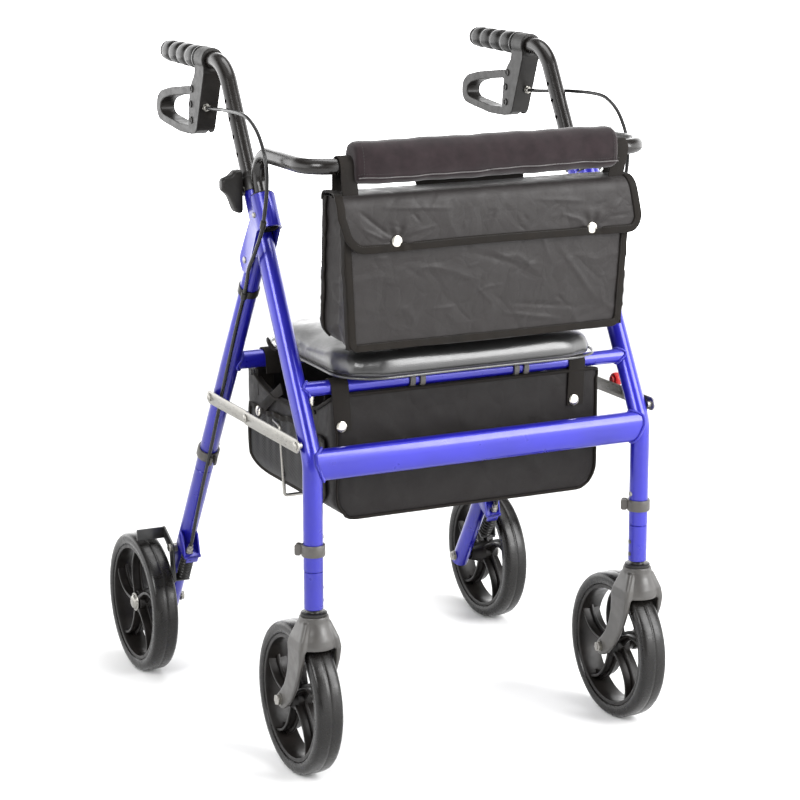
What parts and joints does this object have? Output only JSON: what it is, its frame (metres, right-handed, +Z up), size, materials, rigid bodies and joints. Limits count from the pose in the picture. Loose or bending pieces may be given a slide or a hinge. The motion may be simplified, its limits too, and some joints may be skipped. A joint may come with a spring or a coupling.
{
  "type": "walker",
  "caption": "Folding rollator on swivelling front and fixed rear wheels, with loop brakes, padded seat, backrest, saddle bag and under-seat pouch.",
  "frame": {"origin": "on the floor, midway between the front and rear axles and between the left and right wheels", "axes": "+Z up; +Y the way the grips point, from the front casters to the rear wheels; +X to the right of a person who sits on the seat with the back to the backrest and looks along +Y"},
  "size_m": [0.6046, 0.674, 0.9205],
  "materials": {
    "blue_paint": "glossy ultramarine paint",
    "black_tube": "satin black-brown paint",
    "black_steel": "black coated steel",
    "zinc": "bright zinc plate",
    "grey_plastic": "dark grey moulding",
    "black_plastic": "black moulding",
    "grip_rubber": "soft dark rubber",
    "tyre": "solid dark grey tyre",
    "vinyl": "grained vinyl with a piped seam",
    "suede": "brown-black suede cloth",
    "nylon": "black-grey woven nylon"
  },
  "bodies": {
    "frame": {"left_front_leg": "blue_paint", "right_front_leg": "blue_paint", "crossbar": "blue_paint", "front_seat_bar": "blue_paint", "left_pivot_bracket": "blue_paint", "right_pivot_bracket": "blue_paint", "backrest_bar": "black_tube", "backrest_pad": "suede", "under_seat_pouch": "nylon", "pouch_bail": "zinc"},
    "rear_frame": {"left_rear_leg": "blue_paint", "right_rear_leg": "blue_paint", "rear_seat_bar": "blue_paint"},
    "seat": {"seat_cushion": "vinyl", "seat_board": "grey_plastic"},
    "bag": {"saddle_bag": "nylon"},
    "left_handle": {"left_handle_tube": "black_tube", "left_grip": "grip_rubber", "left_brake_housing": "grey_plastic", "left_brake_cable": "black_plastic"},
    "right_handle": {"right_handle_tube": "black_tube", "right_grip": "grip_rubber", "right_brake_housing": "grey_plastic", "right_brake_cable": "black_plastic"},
    "left_lever": {"left_brake_lever": "grey_plastic"},
    "right_lever": {"right_brake_lever": "grey_plastic"},
    "left_knob": {"left_height_knob": "grey_plastic"},
    "right_knob": {"right_height_knob": "grey_plastic"},
    "left_front_foot": {"left_front_lower_leg": "blue_paint"},
    "right_front_foot": {"right_front_lower_leg": "blue_paint"},
    "left_front_button": {"left_front_leg_button": "zinc"},
    "right_front_button": {"right_front_leg_button": "zinc"},
    "left_caster": {"left_caster_fork": "black_plastic", "left_front_axle": "zinc"},
    "right_caster": {"right_caster_fork": "black_plastic", "right_front_axle": "zinc"},
    "left_front_wheel": {"left_front_tyre": "tyre", "left_front_rim": "black_plastic"},
    "right_front_wheel": {"right_front_tyre": "tyre", "right_front_rim": "black_plastic"},
    "left_rear_foot": {"left_rear_lower_leg": "blue_paint", "left_rear_axle": "zinc", "left_brake_pivot_bolt": "zinc", "left_brake_boot": "grip_rubber"},
    "right_rear_foot": {"right_rear_lower_leg": "blue_paint", "right_rear_axle": "zinc", "right_brake_pivot_bolt": "zinc", "right_brake_boot": "grip_rubber"},
    "left_rear_button": {"left_rear_leg_button": "zinc"},
    "right_rear_button": {"right_rear_leg_button": "zinc"},
    "left_rear_wheel": {"left_rear_tyre": "tyre", "left_rear_rim": "black_plastic"},
    "right_rear_wheel": {"right_rear_tyre": "tyre", "right_rear_rim": "black_plastic"},
    "left_shoe": {"left_brake_shoe": "black_steel"},
    "right_shoe": {"right_brake_shoe": "black_steel"},
    "left_front_link": {"left_front_stay": "zinc"},
    "right_front_link": {"right_front_stay": "zinc"},
    "left_rear_link": {"left_rear_stay": "zinc"},
    "right_rear_link": {"right_rear_stay": "zinc"}
  },
  "joints": [
    {"name": "fold", "type": "hinge", "parent": "frame", "child": "rear_frame", "pos_m": [0, -0.109, 0.659], "axis": [-1, 0, 0], "range_deg": [0, 24], "deforming": ["under_seat_pouch", "left_brake_cable", "right_brake_cable"]},
    {"name": "left_front_stay_hinge", "type": "hinge", "parent": "frame", "child": "left_front_link", "pos_m": [-0.26, -0.2775, 0.4495], "axis": [1, 0, 0], "range_deg": [0, 31]},
    {"name": "right_front_stay_hinge", "type": "hinge", "parent": "frame", "child": "right_front_link", "pos_m": [0.26, -0.2775, 0.4495], "axis": [1, 0, 0], "range_deg": [0, 31]},
    {"name": "left_rear_stay_hinge", "type": "hinge", "parent": "rear_frame", "child": "left_rear_link", "pos_m": [-0.257, 0.0205, 0.4495], "axis": [-1, 0, 0], "range_deg": [0, 40]},
    {"name": "right_rear_stay_hinge", "type": "hinge", "parent": "rear_frame", "child": "right_rear_link", "pos_m": [0.257, 0.0205, 0.4495], "axis": [-1, 0, 0], "range_deg": [0, 40]},
    {"name": "seat_flip", "type": "hinge", "parent": "frame", "child": "seat", "pos_m": [0, -0.2395, 0.511], "axis": [1, 0, 0], "range_deg": [0, 70]},
    {"name": "bag_swing", "type": "hinge", "parent": "frame", "child": "bag", "pos_m": [0, -0.2825, 0.799], "axis": [-1, 0, 0], "range_deg": [0, 24.5]},
    {"name": "left_handle_slide", "type": "slide", "parent": "frame", "child": "left_handle", "axis": [0, 0.4962, 0.8682], "range_m": [-0.1, 0.05]},
    {"name": "right_handle_slide", "type": "slide", "parent": "frame", "child": "right_handle", "axis": [0, 0.4962, 0.8682], "range_m": [-0.1, 0.05]},
    {"name": "left_lever_pull", "type": "hinge", "parent": "left_handle", "child": "left_lever", "pos_m": [-0.24, 0.0745, 0.8185], "axis": [1, 0, 0], "range_deg": [0, 14], "stiffness_Nm_per_rad": 0.5, "springref_deg": -11.46},
    {"name": "right_lever_pull", "type": "hinge", "parent": "right_handle", "child": "right_lever", "pos_m": [0.24, 0.0745, 0.8185], "axis": [1, 0, 0], "range_deg": [0, 14], "stiffness_Nm_per_rad": 0.5, "springref_deg": -11.46},
    {"name": "left_knob_turn", "type": "hinge", "parent": "frame", "child": "left_knob", "pos_m": [-0.24, -0.10031, 0.74801], "axis": [-1, 0, 0], "continuous": true},
    {"name": "right_knob_turn", "type": "hinge", "parent": "frame", "child": "right_knob", "pos_m": [0.24, -0.10031, 0.74801], "axis": [1, 0, 0], "continuous": true},
    {"name": "left_front_foot_slide", "type": "slide", "parent": "frame", "child": "left_front_foot", "axis": [0, 0, -1], "range_m": [0, 0.05]},
    {"name": "right_front_foot_slide", "type": "slide", "parent": "frame", "child": "right_front_foot", "axis": [0, 0, -1], "range_m": [0, 0.05]},
    {"name": "left_front_button_press", "type": "slide", "parent": "frame", "child": "left_front_button", "axis": [-1, 0, 0], "range_m": [0, 0.003], "stiffness_N_per_m": 300},
    {"name": "right_front_button_press", "type": "slide", "parent": "frame", "child": "right_front_button", "axis": [1, 0, 0], "range_m": [0, 0.003], "stiffness_N_per_m": 300},
    {"name": "left_caster_swivel", "type": "hinge", "parent": "left_front_foot", "child": "left_caster", "pos_m": [-0.24, -0.2825, 0.2268], "axis": [0, 0, 1], "continuous": true},
    {"name": "right_caster_swivel", "type": "hinge", "parent": "right_front_foot", "child": "right_caster", "pos_m": [0.24, -0.2825, 0.2268], "axis": [0, 0, 1], "continuous": true},
    {"name": "left_front_wheel_spin", "type": "hinge", "parent": "left_caster", "child": "left_front_wheel", "pos_m": [-0.24, -0.2355, 0.1015], "axis": [1, 0, 0], "continuous": true},
    {"name": "right_front_wheel_spin", "type": "hinge", "parent": "right_caster", "child": "right_front_wheel", "pos_m": [0.24, -0.2355, 0.1015], "axis": [1, 0, 0], "continuous": true},
    {"name": "left_rear_foot_slide", "type": "slide", "parent": "rear_frame", "child": "left_rear_foot", "axis": [0, 0.5257, -0.8507], "range_m": [0, 0.05]},
    {"name": "right_rear_foot_slide", "type": "slide", "parent": "rear_frame", "child": "right_rear_foot", "axis": [0, 0.5257, -0.8507], "range_m": [0, 0.05]},
    {"name": "left_rear_button_press", "type": "slide", "parent": "rear_frame", "child": "left_rear_button", "axis": [-1, 0, 0], "range_m": [0, 0.003], "stiffness_N_per_m": 300},
    {"name": "right_rear_button_press", "type": "slide", "parent": "rear_frame", "child": "right_rear_button", "axis": [1, 0, 0], "range_m": [0, 0.003], "stiffness_N_per_m": 300},
    {"name": "left_rear_wheel_spin", "type": "hinge", "parent": "left_rear_foot", "child": "left_rear_wheel", "pos_m": [-0.284, 0.2355, 0.1015], "axis": [1, 0, 0], "continuous": true},
    {"name": "right_rear_wheel_spin", "type": "hinge", "parent": "right_rear_foot", "child": "right_rear_wheel", "pos_m": [0.284, 0.2355, 0.1015], "axis": [1, 0, 0], "continuous": true},
    {"name": "left_shoe_press", "type": "hinge", "parent": "left_rear_foot", "child": "left_shoe", "pos_m": [-0.26, 0.1767, 0.1946], "axis": [-1, 0, 0], "range_deg": [0, 4.1], "deforming": ["left_brake_boot"]},
    {"name": "right_shoe_press", "type": "hinge", "parent": "right_rear_foot", "child": "right_shoe", "pos_m": [0.26, 0.1767, 0.1946], "axis": [-1, 0, 0], "range_deg": [0, 4.1], "deforming": ["right_brake_boot"]}
  ],
  "couplings": [
    {"joint": "left_front_stay_hinge", "follows": "fold", "ratio": 1.2797},
    {"joint": "right_front_stay_hinge", "follows": "fold", "ratio": 1.2797},
    {"joint": "left_rear_stay_hinge", "follows": "fold", "ratio": 1.638},
    {"joint": "right_rear_stay_hinge", "follows": "fold", "ratio": 1.638},
    {"joint": "bag_swing", "follows": "seat_flip", "ratio": 0.34},
    {"joint": "left_shoe_press", "follows": "left_lever_pull", "ratio": 0.2857},
    {"joint": "right_shoe_press", "follows": "right_lever_pull", "ratio": 0.2857}
  ]
}
